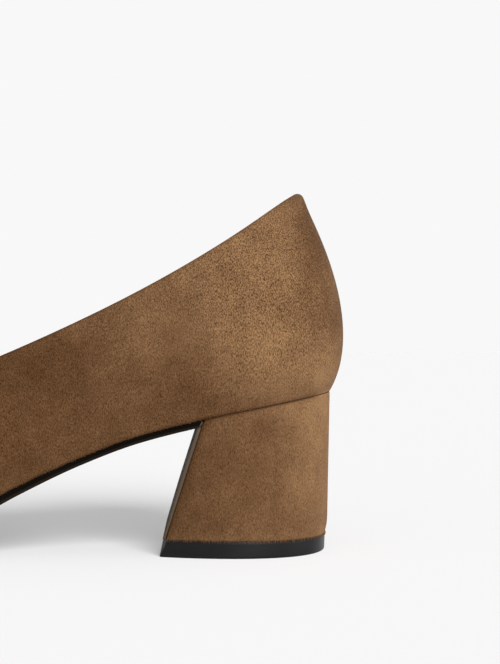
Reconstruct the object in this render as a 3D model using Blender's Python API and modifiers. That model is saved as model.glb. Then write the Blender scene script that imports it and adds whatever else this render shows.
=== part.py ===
"""A left court shoe on a flared block heel: upper, insole, outsole, heel and toplift.

Sizes are in millimetres and turn into metres where a mesh is made. Every shape is worked out from
three lengths: along (from the back of the counter towards the toe), out (from the long axis, the
outer side negative) and up (from the floor). In the finished part the toe points to -X, the outer
side faces -Y and +Z is up.
"""

from collections import namedtuple

import bmesh
import bpy
import numpy as np

MM = 0.001

# Driving dimensions
UPPER_WALL = 2.0
SOLE_THICKNESS = 2.0
FLAP_THICKNESS = 1.3
INSOLE_THICKNESS = 3.0
INSOLE_INSET = 2.8
MEETING_GAP = 0.3

# The heel: its breast leans forward from the seat to the floor
BREAST_TOP_ALONG = 43.6
BREAST_FLOOR_ALONG = 56.5
HEEL_FLOOR_BACK = 4.7
HEEL_FLOOR_FRONT_HALF_WIDTH = 23.5
# Control points of the curve round the heel at the floor: how wide it sets out at the back, and
# the place along and half width that it is drawn towards at the side
HEEL_FLOOR_BACK_PULL = 33.8
HEEL_FLOOR_SIDE_PULL_ALONG = 37.0
HEEL_FLOOR_SIDE_PULL_OUT = 31.4
TOPLIFT_FRONT_HEIGHT = 5.5
TOPLIFT_BACK_HEIGHT = 4.5
TOPLIFT_INSET = 0.5

# How finely each piece is divided, and the step for measuring a slope
UPPER_COLUMNS = 88
UPPER_ROWS = 12
SOLE_RUNGS = 40
FLAP_RUNGS = 4
INSOLE_RUNGS = 44
HEEL_RUNGS = 18
HEEL_LAYERS = 3
SLOPE_STEP = 0.01

# The bottom of the last, where the upper meets insole, sole and heel seat
LastBottom = namedtuple("LastBottom", "along up")
LAST_BOTTOM = (
    LastBottom(0, 50.2),
    LastBottom(22, 46.1),
    LastBottom(44, 41.7),
    LastBottom(64, 36.6),
    LastBottom(82, 29.8),
    LastBottom(100, 21.2),
    LastBottom(118, 11.5),
    LastBottom(132, 5.8),
    LastBottom(144, 2.8),
    LastBottom(154, SOLE_THICKNESS),
    LastBottom(184, SOLE_THICKNESS),
    LastBottom(212, 4.1),
    LastBottom(240, 9.0),
)

# One row for each rib of the upper, from the back of the counter to the toe. A rib rises from the
# feather edge to the topline. The feather and the topline each have a place along the shoe and a
# half width on the outer and the inner side. At the feather the rib sets out by low_reach outwards
# and low_rise upwards, and it comes into the topline from top_reach outside and top_drop below.
Rib = namedtuple(
    "Rib",
    "name feather_along feather_outer feather_inner top_along top_outer top_inner top_up "
    "low_reach low_rise top_reach top_drop",
)
RIBS = (
    Rib("counter", 3.6, 0.0, 0.0, 13.2, 0.0, 0.0, 112.5, 8.2, 14.0, 14.2, 26.0),
    Rib("heel_curve", 11.2, 18.0, 17.6, 18.2, 11.2, 11.2, 109.6, 7.0, 14.0, 12.0, 25.0),
    Rib("heel_side", 29.5, 26.2, 25.2, 32.0, 20.2, 19.8, 99.7, 5.2, 14.0, 7.5, 23.0),
    Rib("breast", 50.0, 26.6, 23.8, 51.5, 23.4, 22.6, 87.4, 4.4, 14.0, 4.6, 20.0),
    Rib("waist", 84.0, 25.4, 18.6, 84.0, 25.4, 24.2, 70.3, 4.6, 13.0, 2.4, 16.0),
    Rib("instep", 119.0, 31.4, 22.8, 117.0, 26.0, 25.2, 56.0, 4.2, 13.0, 4.2, 12.0),
    Rib("ball", 152.0, 39.0, 35.4, 143.0, 22.8, 22.4, 47.6, 3.4, 14.0, 11.0, 10.0),
    Rib("forefoot", 182.0, 36.4, 36.8, 155.5, 14.2, 14.2, 46.6, 3.2, 13.0, 20.0, 9.0),
    Rib("toe_shoulder", 210.0, 26.4, 28.8, 161.0, 7.4, 7.6, 47.0, 3.4, 12.0, 31.0, 11.0),
    Rib("toe_side", 228.8, 14.2, 17.8, 162.8, 3.4, 3.6, 47.3, 4.0, 12.0, 38.0, 13.0),
    Rib("toe", 238.0, -1.8, 1.8, 163.3, 0.0, 0.0, 47.4, 4.4, 12.0, 40.0, 14.0),
)


def eased_curve(knots, values):
    """Curve through the values that never swings past them, so a flat stretch stays flat."""
    gaps = np.diff(knots)
    slopes = np.diff(values) / gaps
    tangents = np.concatenate([slopes[:1], np.zeros(len(slopes) - 1), slopes[-1:]])
    for i in range(1, len(slopes)):
        if slopes[i - 1] * slopes[i] > 0:
            low, high = gaps[i - 1] + 2 * gaps[i], 2 * gaps[i - 1] + gaps[i]
            tangents[i] = (low + high) / (low / slopes[i] + high / slopes[i - 1])

    def at(place):
        i = np.clip(np.searchsorted(knots, place) - 1, 0, len(gaps) - 1)
        gap = gaps[i]
        t = (place - np.asarray(knots)[i]) / gap
        ends = np.asarray(values)
        start = (2 * t**3 - 3 * t**2 + 1) * ends[i] + (3 * t**2 - 2 * t**3) * ends[i + 1]
        bend = (t**3 - 2 * t**2 + t) * tangents[i] + (t**3 - t**2) * tangents[i + 1]
        return start + gap * bend

    return at


def closed_curve(knots, values, period):
    """Smoothly bending closed curve through the values at the knots, repeating after the period."""
    count = len(knots)
    knots, values = np.asarray(knots, float), np.asarray(values, float)
    gaps = np.diff(np.append(knots, knots[0] + period))
    rises = np.roll(values, -1) - values
    matrix = np.zeros((count, count))
    turn = np.zeros(count)
    for i in range(count):
        before, after = gaps[i - 1], gaps[i]
        matrix[i, i - 1] += before
        matrix[i, i] += 2 * (before + after)
        matrix[i, (i + 1) % count] += after
        turn[i] = 6 * (rises[i] / after - rises[i - 1] / before)
    bends = np.linalg.solve(matrix, turn)

    def at(place):
        place = np.mod(place, period)
        i = np.searchsorted(knots, place, side="right") - 1
        j = (i + 1) % count
        gap = gaps[i]
        a, b = (knots[i] + gap - place) / gap, (place - knots[i]) / gap
        curve = ((a**3 - a) * bends[i] + (b**3 - b) * bends[j]) * gap**2 / 6
        return a * values[i] + b * values[j] + curve

    return at


def bezier(t, start, pull_out, pull_in, end):
    """Point on the cubic curve with these four controls."""
    return (
        (1 - t) ** 3 * start
        + 3 * (1 - t) ** 2 * t * pull_out
        + 3 * (1 - t) * t**2 * pull_in
        + t**3 * end
    )


class Last:
    """The shoe's form: girth runs from 0 at the counter along the outer side to the toe and back."""

    def __init__(self):
        self.bottom = eased_curve([b.along for b in LAST_BOTTOM], [b.up for b in LAST_BOTTOM])
        feather = np.array(
            [(r.feather_along, (r.feather_outer + r.feather_inner) / 2) for r in RIBS]
        )
        steps = np.linalg.norm(np.diff(feather, axis=0), axis=1)
        half = np.concatenate([[0], np.cumsum(steps)])
        self.toe_girth = half[-1]
        self.girth = 2 * self.toe_girth
        self.knots = np.concatenate([half, self.girth - half[-2:0:-1]])
        self.columns = {
            name: self.column(name)
            for name in ("feather_along", "top_along", "top_up")
            + ("low_reach", "low_rise", "top_reach", "top_drop")
        }
        self.columns["feather_out"] = self.column("feather_outer", "feather_inner")
        self.columns["top_out"] = self.column("top_outer", "top_inner")

    def bottom_slope(self, along):
        """Rise of the last's bottom for each step towards the toe."""
        return (self.bottom(along + SLOPE_STEP) - self.bottom(along - SLOPE_STEP)) / (2 * SLOPE_STEP)

    def column(self, outer, inner=None):
        """Closed curve of one column. With an inner column, the outer one counts as negative."""
        there = [getattr(rib, outer) * (-1 if inner else 1) for rib in RIBS]
        back = [getattr(rib, inner or outer) for rib in RIBS[-2:0:-1]]
        return closed_curve(self.knots, there + back, self.girth)

    def edge(self, name, girth):
        """Plan points of the feather or top edge, and the outward direction at each."""
        def plan(place):
            return np.stack(
                [self.columns[f"{name}_along"](place), self.columns[f"{name}_out"](place)], -1
            )

        run = plan(girth + SLOPE_STEP) - plan(girth - SLOPE_STEP)
        outward = np.stack([run[..., 1], -run[..., 0]], -1)
        return plan(girth), outward / np.linalg.norm(outward, axis=-1, keepdims=True)

    def feather(self, girth, inset=0.0):
        """Plan points of the feather edge, moved inwards by the inset."""
        plan, outward = self.edge("feather", girth)
        return plan - outward * inset

    def girth_at(self, along):
        """Where on the outer side the feather edge reaches this place along the shoe."""
        run = np.linspace(0, self.toe_girth, 2000)
        return np.interp(along, self.columns["feather_along"](run), run)

    def wall(self, girth, rise):
        """Point of the upper's outside: rise is 0 at the feather edge and 1 at the topline."""
        low, low_out = self.edge("feather", girth)
        top, top_out = self.edge("top", girth)
        size = {name: self.columns[name](girth)[..., None] for name in self.columns}
        low_up = self.bottom(low[..., :1]) + MEETING_GAP
        start = np.concatenate([low, low_up], -1)
        end = np.concatenate([top, size["top_up"]], -1)
        set_out = np.concatenate([low_out * size["low_reach"], size["low_rise"]], -1)
        come_in = np.concatenate([top_out * size["top_reach"], -size["top_drop"]], -1)
        return bezier(rise, start, start + set_out, end + come_in, end)


LAST = Last()


def wall_grid(columns, rows):
    """Points of the whole outside of the upper, one row for each level."""
    girths = np.linspace(0, LAST.girth, columns, endpoint=False)
    return np.array([LAST.wall(girths, rise) for rise in np.linspace(0, 1, rows + 1)])


OUTSIDE = wall_grid(UPPER_COLUMNS, UPPER_ROWS)
CENTRE = (OUTSIDE.min((0, 1)) + OUTSIDE.max((0, 1))) / 2


def placed(point):
    """A point of the last as a point of the part, in metres, centred over the origin."""
    along, out, up = point
    return ((CENTRE[0] - along) * MM, (out - CENTRE[1]) * MM, up * MM)


def finished(bm, name, collection, material):
    """Object of this name from the bmesh, with its faces turned outwards and smoothed."""
    bmesh.ops.recalc_face_normals(bm, faces=bm.faces)
    mesh = bpy.data.meshes.new(name)
    bm.to_mesh(mesh)
    bm.free()
    mesh.shade_smooth()
    mesh.materials.append(material)
    made = bpy.data.objects.new(name, mesh)
    collection.objects.link(made)
    return made


def layered(name, layers, collection, material):
    """Closed solid through layers of rungs. A rung is an outer and an inner point, equal at a tip."""
    bm = bmesh.new()
    built = []
    for layer in layers:
        rungs = []
        for outer, inner in layer:
            first = bm.verts.new(placed(outer))
            tip = np.allclose(outer, inner)
            rungs.append((first, first if tip else bm.verts.new(placed(inner))))
        built.append(rungs)

    def face(*corners):
        ring = list(dict.fromkeys(corners))
        if len(ring) > 2:
            bm.faces.new(ring)

    for rungs in (built[0], built[-1]):
        for (a, b), (c, d) in zip(rungs, rungs[1:]):
            face(a, c, d, b)
    for upper, lower in zip(built, built[1:]):
        for i in range(len(upper) - 1):
            for side in (0, 1):
                face(upper[i][side], upper[i + 1][side], lower[i + 1][side], lower[i][side])
        for end in (0, -1):
            face(upper[end][0], upper[end][1], lower[end][1], lower[end][0])
    return finished(bm, name, collection, material)


def rung(along, outer, inner, up):
    return (along, outer, up), (along, inner, up)


def add_upper(collection, material):
    """The hollow upper: its outside as one open wall, thickened inwards."""
    bm = bmesh.new()
    rows = [[bm.verts.new(placed(p)) for p in row] for row in OUTSIDE]
    for low, high in zip(rows, rows[1:]):
        for i in range(UPPER_COLUMNS):
            bm.faces.new((low[i - 1], low[i], high[i], high[i - 1]))
    upper = finished(bm, "upper", collection, material)
    wall = upper.modifiers.new("wall", "SOLIDIFY")
    wall.thickness = UPPER_WALL * MM
    wall.offset = -1
    wall.use_even_offset = True
    return upper


def add_insole(collection, material):
    """Board and sock on the bottom of the last, inside the upper's wall."""
    girths = np.linspace(0, LAST.toe_girth, INSOLE_RUNGS)
    outer = LAST.feather(girths, INSOLE_INSET)
    inner = LAST.feather(-girths, INSOLE_INSET)

    def layer(lift):
        return [
            tuple((*plan, LAST.bottom(plan[0]) + lift) for plan in pair)
            for pair in zip(outer, inner)
        ]

    layers = layer(MEETING_GAP + INSOLE_THICKNESS), layer(MEETING_GAP)
    return layered("insole", layers, collection, material)


def breast_line(up, ahead):
    """Place along the shoe of the heel breast at this height, moved ahead at right angles to it."""
    rise = LAST.bottom(BREAST_TOP_ALONG)
    lean = (BREAST_FLOOR_ALONG - BREAST_TOP_ALONG) / rise
    return BREAST_FLOOR_ALONG - up * lean + ahead * np.hypot(1, lean)


def heel_floor_edge(share):
    """Plan point of the heel where its sides reach the floor, from the back to the breast."""
    controls = (
        (HEEL_FLOOR_BACK, 0.0),
        (HEEL_FLOOR_BACK, HEEL_FLOOR_BACK_PULL),
        (HEEL_FLOOR_SIDE_PULL_ALONG, HEEL_FLOOR_SIDE_PULL_OUT),
        (BREAST_FLOOR_ALONG, HEEL_FLOOR_FRONT_HALF_WIDTH),
    )
    return bezier(share, *map(np.array, controls))


def heel_rungs(level, inset=0.0):
    """Rungs of the heel from back to breast; level is 1 on the seat and 0 on the floor."""
    girths = np.linspace(0, LAST.girth_at(BREAST_TOP_ALONG), HEEL_RUNGS)
    rungs = []
    for share, girth in zip(np.linspace(0, 1, HEEL_RUNGS), girths):
        along, half_width = heel_floor_edge(share)
        shrink = 1 - inset / HEEL_FLOOR_FRONT_HALF_WIDTH
        floor = np.array([[along, -half_width * shrink, 0], [along, half_width * shrink, 0]])
        floor[:, 0] += inset * (1 - share)
        seat = [(*p, LAST.bottom(p[0])) for p in LAST.feather(np.array([girth, -girth]))]
        rungs.append(tuple(floor + (np.array(seat) - floor) * level))
    return rungs


def toplift_top(along):
    """Height of the toplift's upper face."""
    share = (along - HEEL_FLOOR_BACK) / (BREAST_FLOOR_ALONG - HEEL_FLOOR_BACK)
    return TOPLIFT_BACK_HEIGHT + (TOPLIFT_FRONT_HEIGHT - TOPLIFT_BACK_HEIGHT) * share


def cut_level(lift, inset=0.0):
    """Rungs where the heel's sides pass this far over the toplift's upper face."""
    seat, floor = heel_rungs(1, inset), heel_rungs(0, inset)
    rungs = []
    for high, low in zip(seat, floor):
        cut = []
        for top, foot in zip(np.array(high), np.array(low)):
            level = (toplift_top(foot[0]) + lift) / top[2]
            cut.append(foot + (top - foot) * level)
        rungs.append(tuple(cut))
    return rungs


def add_heel(collection, material):
    """Block heel from the seat down to the toplift."""
    top, foot = np.array(heel_rungs(1)), np.array(cut_level(MEETING_GAP))
    layers = [top + (foot - top) * share for share in np.linspace(0, 1, HEEL_LAYERS)]
    return layered("heel", layers, collection, material)


def add_toplift(collection, material):
    """Rubber piece under the heel, a little smaller than the covered block."""
    layers = cut_level(0, TOPLIFT_INSET), heel_rungs(0, TOPLIFT_INSET)
    return layered("toplift", layers, collection, material)


def add_outsole(collection, material):
    """Thin sole from toe to breast, turned down over the breast as a flap."""
    corner_up = LAST.bottom(BREAST_TOP_ALONG)
    flap_back, flap_front = MEETING_GAP, MEETING_GAP + FLAP_THICKNESS
    corner_along = breast_line(corner_up, flap_back)
    girths = np.linspace(LAST.toe_girth, LAST.girth_at(corner_along), SOLE_RUNGS)
    top, under = [], []
    for girth in girths:
        (along, outer), (_, inner) = LAST.feather(np.array([girth, -girth]))
        up = LAST.bottom(along)
        slope = LAST.bottom_slope(along)
        drop = SOLE_THICKNESS / np.hypot(1, slope)
        top.append(rung(along, outer, inner, up))
        under.append(rung(along + slope * drop, outer, inner, up - drop))
    inner_corner_up = under[-1][0][2]
    under[-1] = rung(breast_line(inner_corner_up, flap_front), outer, inner, inner_corner_up)

    heel_corner = np.array(heel_rungs(1)[-1]), np.array(cut_level(MEETING_GAP)[-1])
    foot_up = heel_corner[1][0][2]
    for share in np.linspace(0, 1, FLAP_RUNGS + 1)[1:]:
        (_, outer, _), (_, inner, _) = heel_corner[0] + (heel_corner[1] - heel_corner[0]) * share
        back_up = corner_up + (foot_up - corner_up) * share
        front_up = inner_corner_up + (foot_up - inner_corner_up) * share
        top.append(rung(breast_line(back_up, flap_back), outer, inner, back_up))
        under.append(rung(breast_line(front_up, flap_front), outer, inner, front_up))
    return layered("outsole", (top, under), collection, material)


def surface(name, colour, roughness):
    """Principled material; none of the shoe's surfaces is metal."""
    made = bpy.data.materials.new(name)
    made.use_nodes = True
    shader = made.node_tree.nodes["Principled BSDF"]
    shader.inputs["Base Color"].default_value = (*colour, 1)
    shader.inputs["Roughness"].default_value = roughness
    shader.inputs["Metallic"].default_value = 0
    return made


def main():
    for old in list(bpy.data.objects):
        bpy.data.objects.remove(old)
    shoe = bpy.data.collections.new("court_shoe")
    bpy.context.scene.collection.children.link(shoe)
    suede = surface("brown_suede", (0.19, 0.11, 0.055), 0.95)
    heel_suede = surface("heel_suede", (0.2, 0.112, 0.055), 0.95)
    lining = surface("tan_lining", (0.42, 0.29, 0.19), 0.6)
    black_sole = surface("black_sole", (0.012, 0.012, 0.012), 0.5)
    black_rubber = surface("black_rubber", (0.02, 0.02, 0.02), 0.55)
    add_upper(shoe, suede)
    add_insole(shoe, lining)
    add_outsole(shoe, black_sole)
    add_heel(shoe, heel_suede)
    add_toplift(shoe, black_rubber)


main()
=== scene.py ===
import math

import bmesh
import bpy
import numpy as np
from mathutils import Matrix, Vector, noise


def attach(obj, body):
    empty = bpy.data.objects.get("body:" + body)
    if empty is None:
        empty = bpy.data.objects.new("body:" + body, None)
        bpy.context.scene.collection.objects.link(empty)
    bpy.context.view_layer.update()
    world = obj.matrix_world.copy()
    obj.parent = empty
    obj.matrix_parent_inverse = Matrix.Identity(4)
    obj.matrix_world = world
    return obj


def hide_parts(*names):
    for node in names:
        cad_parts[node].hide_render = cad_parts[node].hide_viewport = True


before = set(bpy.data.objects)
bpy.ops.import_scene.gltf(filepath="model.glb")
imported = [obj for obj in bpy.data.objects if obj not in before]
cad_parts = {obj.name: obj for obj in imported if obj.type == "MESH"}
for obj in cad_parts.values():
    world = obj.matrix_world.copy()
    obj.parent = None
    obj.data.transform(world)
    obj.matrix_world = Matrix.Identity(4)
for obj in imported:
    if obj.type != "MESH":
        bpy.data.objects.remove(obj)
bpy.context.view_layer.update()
scene = bpy.context.scene
mm = 0.001
print("frame loaded:", ", ".join(sorted(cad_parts)))


def tone(red, green, blue):  # a screen colour from 0 to 255, as the linear colour that shaders take
    def linear(level):
        level /= 255
        return level / 12.92 if level <= 0.04045 else ((level + 0.055) / 1.055) ** 2.4

    return (linear(red), linear(green), linear(blue), 1.0)


def shades(*colours):  # even stops for a colour ramp, from dark to light
    return [(i / (len(colours) - 1), tone(*colour)) for i, colour in enumerate(colours)]


# The last. Lengths in mm: along runs from the counter to the toe, out is negative on the outer side,
# and up starts at the floor. The ribs go from the middle of the back to the tip of the toe.
last = {
    "bottomAlong": (0, 22, 44, 64, 82, 100, 118, 132, 144, 154, 184, 212, 240),
    "bottomUp": (50.2, 46.1, 41.7, 36.6, 29.8, 21.2, 11.5, 5.8, 2.8, 2.0, 2.0, 4.1, 9.0),
    "featherLift": 0.3,
    "featherAlong": (3.6, 11.2, 29.5, 50.0, 84.0, 119.0, 152.0, 182.0, 210.0, 228.8, 238.0),
    "featherOuter": (0.0, 18.0, 26.2, 26.6, 25.4, 31.4, 39.0, 36.4, 26.4, 14.2, -1.8),
    "featherInner": (0.0, 17.6, 25.2, 23.8, 18.6, 22.8, 35.4, 36.8, 28.8, 17.8, 1.8),
    "topAlong": (13.2, 18.2, 32.0, 51.5, 84.0, 117.0, 143.0, 155.5, 161.0, 162.8, 163.3),
    "topOuter": (0.0, 11.2, 20.2, 23.4, 25.4, 26.0, 22.8, 14.2, 7.4, 3.4, 0.0),
    "topInner": (0.0, 11.2, 19.8, 22.6, 24.2, 25.2, 22.4, 14.2, 7.6, 3.6, 0.0),
    "topUp": (112.5, 109.6, 99.7, 87.4, 70.3, 56.0, 47.6, 46.6, 47.0, 47.3, 47.4),
    "lowReach": (8.2, 7.0, 5.2, 4.4, 4.6, 4.2, 3.4, 3.2, 3.4, 4.0, 4.4),
    "lowRise": (14.0, 14.0, 14.0, 14.0, 13.0, 13.0, 14.0, 13.0, 12.0, 12.0, 12.0),
    "topReach": (14.2, 12.0, 7.5, 4.6, 2.4, 4.2, 11.0, 20.0, 31.0, 38.0, 40.0),
    "topDrop": (26.0, 25.0, 23.0, 20.0, 16.0, 12.0, 10.0, 9.0, 11.0, 13.0, 14.0),
    "cadColumns": 88,
    "cadRows": 12,
    "girthSamples": 2000,
    "slopeStep": 0.01,
}


def easedCurve(knots, values):  # goes through the values and never swings past them
    knots, values = np.array(knots, float), np.array(values, float)
    gaps = np.diff(knots)
    slopes = np.diff(values) / gaps
    tangents = np.concatenate([slopes[:1], np.zeros(len(slopes) - 1), slopes[-1:]])
    for i in range(1, len(slopes)):
        if slopes[i - 1] * slopes[i] > 0:
            low, high = gaps[i - 1] + 2 * gaps[i], 2 * gaps[i - 1] + gaps[i]
            tangents[i] = (low + high) / (low / slopes[i] + high / slopes[i - 1])

    def at(place):
        i = np.clip(np.searchsorted(knots, place) - 1, 0, len(gaps) - 1)
        t = (place - knots[i]) / gaps[i]
        ends = (2 * t**3 - 3 * t**2 + 1) * values[i] + (3 * t**2 - 2 * t**3) * values[i + 1]
        return ends + gaps[i] * ((t**3 - 2 * t**2 + t) * tangents[i] + (t**3 - t**2) * tangents[i + 1])

    return at


def closedCurve(knots, values, period):  # smooth loop through the values
    count = len(knots)
    knots, values = np.array(knots, float), np.array(values, float)
    gaps = np.diff(np.append(knots, knots[0] + period))
    rises = np.roll(values, -1) - values
    matrix, turn = np.zeros((count, count)), np.zeros(count)
    for i in range(count):
        before, after = gaps[i - 1], gaps[i]
        matrix[i, i - 1] += before
        matrix[i, i] += 2 * (before + after)
        matrix[i, (i + 1) % count] += after
        turn[i] = 6 * (rises[i] / after - rises[i - 1] / before)
    bends = np.linalg.solve(matrix, turn)

    def at(place):
        place = np.mod(place, period)
        i = np.searchsorted(knots, place, side="right") - 1
        j = (i + 1) % count
        gap = gaps[i]
        a, b = (knots[i] + gap - place) / gap, (place - knots[i]) / gap
        bend = ((a**3 - a) * bends[i] + (b**3 - b) * bends[j]) * gap**2 / 6
        return a * values[i] + b * values[j] + bend

    return at


def bezier(t, start, pullOut, pullIn, end):
    return (
        (1 - t) ** 3 * start
        + 3 * (1 - t) ** 2 * t * pullOut
        + 3 * (1 - t) * t**2 * pullIn
        + t**3 * end
    )


lastBottom = easedCurve(last["bottomAlong"], last["bottomUp"])
ribNames = [name for name in last if len(np.shape(last[name])) and not name.startswith("bottom")]
rib = {name: np.array(last[name], float) for name in ribNames}
halfWidth = (rib["featherOuter"] + rib["featherInner"]) / 2
halfGirth = np.append(0, np.cumsum(np.hypot(np.diff(rib["featherAlong"]), np.diff(halfWidth))))
toeGirth = halfGirth[-1]
fullGirth = 2 * toeGirth
girthKnots = np.append(halfGirth, fullGirth - halfGirth[-2:0:-1])


def ribCurve(outer, inner=None):  # one column of the ribs, out along the outer side and back
    there = rib[outer] if inner is None else -rib[outer]
    back = rib[inner or outer]
    return closedCurve(girthKnots, np.append(there, back[-2:0:-1]), fullGirth)


lastCurves = {name: ribCurve(name) for name in ribNames if not name.endswith(("Outer", "Inner"))}
lastCurves["featherOut"] = ribCurve("featherOuter", "featherInner")
lastCurves["topOut"] = ribCurve("topOuter", "topInner")


def edgePlan(edge, girth):  # plan points of the feather or the topline, and the way out at each
    def plan(place):
        return np.stack([lastCurves[edge + "Along"](place), lastCurves[edge + "Out"](place)], -1)

    run = plan(girth + last["slopeStep"]) - plan(girth - last["slopeStep"])
    outward = np.stack([run[..., 1], -run[..., 0]], -1)
    return plan(girth), outward / np.linalg.norm(outward, axis=-1, keepdims=True)


def featherPlan(girth, inset=0.0):
    plan, outward = edgePlan("feather", girth)
    return plan - outward * inset


def featherPoint(girth, inset=0.0):
    return featherPlan(np.array([girth]), inset)[0]


def girthAt(along):  # where the outer feather edge reaches this place
    run = np.linspace(0, toeGirth, last["girthSamples"])
    return np.interp(along, lastCurves["featherAlong"](run), run)


def wallPoints(girth, rise):  # the outside of the upper: rise 0 at the feather, 1 at the topline
    low, lowOut = edgePlan("feather", girth)
    top, topOut = edgePlan("top", girth)
    size = {name: lastCurves[name](girth)[:, None] for name in lastCurves}
    start = np.hstack([low, lastBottom(low[:, :1]) + last["featherLift"]])
    end = np.hstack([top, size["topUp"]])
    setOut = np.hstack([lowOut * size["lowReach"], size["lowRise"]])
    comeIn = np.hstack([topOut * size["topReach"], -size["topDrop"]])
    return bezier(rise[..., None], start, start + setOut, end + comeIn, end)


def girthSteps(count):
    return np.linspace(0, fullGirth, count, endpoint=False)


def riseSteps(count, columns):
    return np.repeat(np.linspace(0, 1, count + 1)[:, None], columns, axis=1)


coarse = wallPoints(girthSteps(last["cadColumns"]), riseSteps(last["cadRows"], last["cadColumns"]))
middle = (coarse.min((0, 1)) + coarse.max((0, 1))) / 2


def placed(points):  # lengths on the last to metres in the frame, toe to -X and outer side to -Y
    points = np.asarray(points, float)
    return np.stack(
        [middle[0] - points[..., 0], points[..., 1] - middle[1], points[..., 2]], -1
    ) * mm


def eased(low, high, value):
    share = np.clip((value - low) / (high - low), 0, 1)
    return share * share * (3 - 2 * share)


def finishMesh(bm, name, sharpAngle=None):
    bmesh.ops.recalc_face_normals(bm, faces=bm.faces)
    mesh = bpy.data.meshes.new(name)
    bm.to_mesh(mesh)
    bm.free()
    mesh.shade_smooth()
    if sharpAngle:
        mesh.set_sharp_from_angle(angle=math.radians(sharpAngle))
    piece = bpy.data.objects.new(name, mesh)
    scene.collection.objects.link(piece)
    return piece


def wrappedShell(name, rows):  # rows run round the shoe, and their order runs round the wall's section
    bm = bmesh.new()
    made = [[bm.verts.new(p) for p in row] for row in placed(rows)]
    for i, row in enumerate(made):
        before = made[i - 1]
        for j in range(len(row)):
            bm.faces.new((before[j - 1], before[j], row[j], row[j - 1]))
    return finishMesh(bm, name)


def ringedSolid(name, rings, sharpAngle=None):  # closed rings one after another, with both ends filled
    bm = bmesh.new()
    made = [[bm.verts.new(p) for p in ring] for ring in placed(rings)]
    for before, ring in zip(made, made[1:]):
        for j in range(len(ring)):
            bm.faces.new((before[j - 1], before[j], ring[j], ring[j - 1]))
    for end in (made[0], made[-1]):  # a fan, because some rings have long straight runs
        hub = bm.verts.new(sum((vert.co for vert in end), Vector()) / len(end))
        for j in range(len(end)):
            bm.faces.new((hub, end[j - 1], end[j]))
    return finishMesh(bm, name, sharpAngle)


def setAttribute(piece, name, values):  # the hubs of the filled ends take the last value
    values = np.ravel(values)
    hubs = len(piece.data.vertices) - len(values)
    layer = piece.data.attributes.new(name, "FLOAT", "POINT")
    layer.data.foreach_set("value", np.pad(values, (0, hubs), mode="edge"))


def wallNormals(grid):  # outward directions of a grid of wall points, rows going up
    along = np.roll(grid, -1, axis=1) - np.roll(grid, 1, axis=1)
    upward = np.gradient(grid, axis=0)
    normal = np.cross(along, upward)
    normal /= np.linalg.norm(normal, axis=-1, keepdims=True)
    outward = grid[..., :2] - grid[..., :2].mean((0, 1))
    return normal * np.sign((normal[..., :2] * outward).sum())


# Suede upper: the outside of the last, folded over at the topline, with a round edge at the sole
upperCut = {
    "columns": 440,
    "rows": 64,
    "fineRows": 200,
    "foldSteps": 10,
    "innerEvery": 4,
    "thickness": 1.0,
    "hemDrop": 0.25,
    "hemRaise": 0.65,
    "hemRaiseFrom": (78, 106),
    "foldRadius": 0.8,
    "backFold": 2.1,
    "backFoldReach": 16.0,
    "foldFade": 7.0,
    "foldLift": 0.45,
    # painted shade on the fold at the topline, and painted light on the wall just below it
    "rimPaintedShade": -0.06,
    "rimPaintedLight": 0.07,
    "rimPaintedLightReach": 5.0,
    # painted shade along the hem where it meets the heel and the sole, turned to painted light at the back
    "hemPaintedShade": -0.16,
    "hemPaintedShadeReach": 0.6,
    "hemPaintedShadeFrom": (11, 15.5, 19.5, 28, 34, 42, 48, 54, 58),
    "hemPaintedShadeShare": (-1.6, -0.5, 1.35, 1.35, 1.0, 1.0, 1.9, 1.9, 1.0),
    "softness": 0.1,
    "softSize": 24.0,
    "softFade": 8.0,
    "tooth": 0.6,
    "backStand": 0.75,
    "backStandReach": (12.0, 4.5),
    "backStandWay": (1, 1, 0.5),
}


def hemRaise(along):  # the sole's edge stands higher on the upper from the arch to the toe
    return upperCut["hemRaise"] * eased(*upperCut["hemRaiseFrom"], along)


girths = girthSteps(upperCut["columns"])
fromBack = np.minimum(girths, fullGirth - girths)
foldRadius = upperCut["foldRadius"] + (upperCut["backFold"] - upperCut["foldRadius"]) * np.exp(
    -((fromBack / upperCut["backFoldReach"]) ** 2)
)
hemRadius = upperCut["thickness"] / 2

fine = wallPoints(girths, riseSteps(upperCut["fineRows"], upperCut["columns"]))
climb = np.concatenate(
    [np.zeros((1, upperCut["columns"])), np.cumsum(np.linalg.norm(np.diff(fine, axis=0), axis=-1), 0)]
)
wallHeight = climb[-1]
rowLevels = np.linspace(0, 1, upperCut["rows"] + 1)[:, None]
rimStart = wallHeight - foldRadius * (1 - upperCut["foldLift"])
hemStart = hemRadius - upperCut["hemDrop"] + hemRaise(lastCurves["featherAlong"](girths))
wanted = hemStart + (rimStart - hemStart) * rowLevels
fineRise = np.linspace(0, 1, upperCut["fineRows"] + 1)
wallRise = np.stack([np.interp(rise, at, fineRise) for rise, at in zip(wanted.T, climb.T)], 1)
wall = wallPoints(girths, wallRise)
wallOut = wallNormals(wall)
softNoise = np.array([[noise.noise(Vector(p) / upperCut["softSize"]) for p in row] for row in wall])
belowRim = wallHeight - wanted
softNoise *= eased(0, upperCut["softFade"], wanted) * eased(0, upperCut["softFade"], belowRim)
wall = wall + wallOut * softNoise[..., None] * upperCut["softness"]
roundBack, underRim = upperCut["backStandReach"]
stand = upperCut["backStand"] * np.exp(-((fromBack / roundBack) ** 2) - (belowRim / underRim) ** 2)
wall = wall + wallOut * upperCut["backStandWay"] * stand[..., None]  # the counter ends more upright
wallOut = wallNormals(wall)


def tangentUp(low, high, out):
    rise = high - low
    rise = rise - out * (rise * out).sum(-1, keepdims=True)
    return rise / np.linalg.norm(rise, axis=-1, keepdims=True)


topDirection = tangentUp(wall[-2], wall[-1], wallOut[-1])
lowDirection = tangentUp(wall[0], wall[1], wallOut[0])


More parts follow.
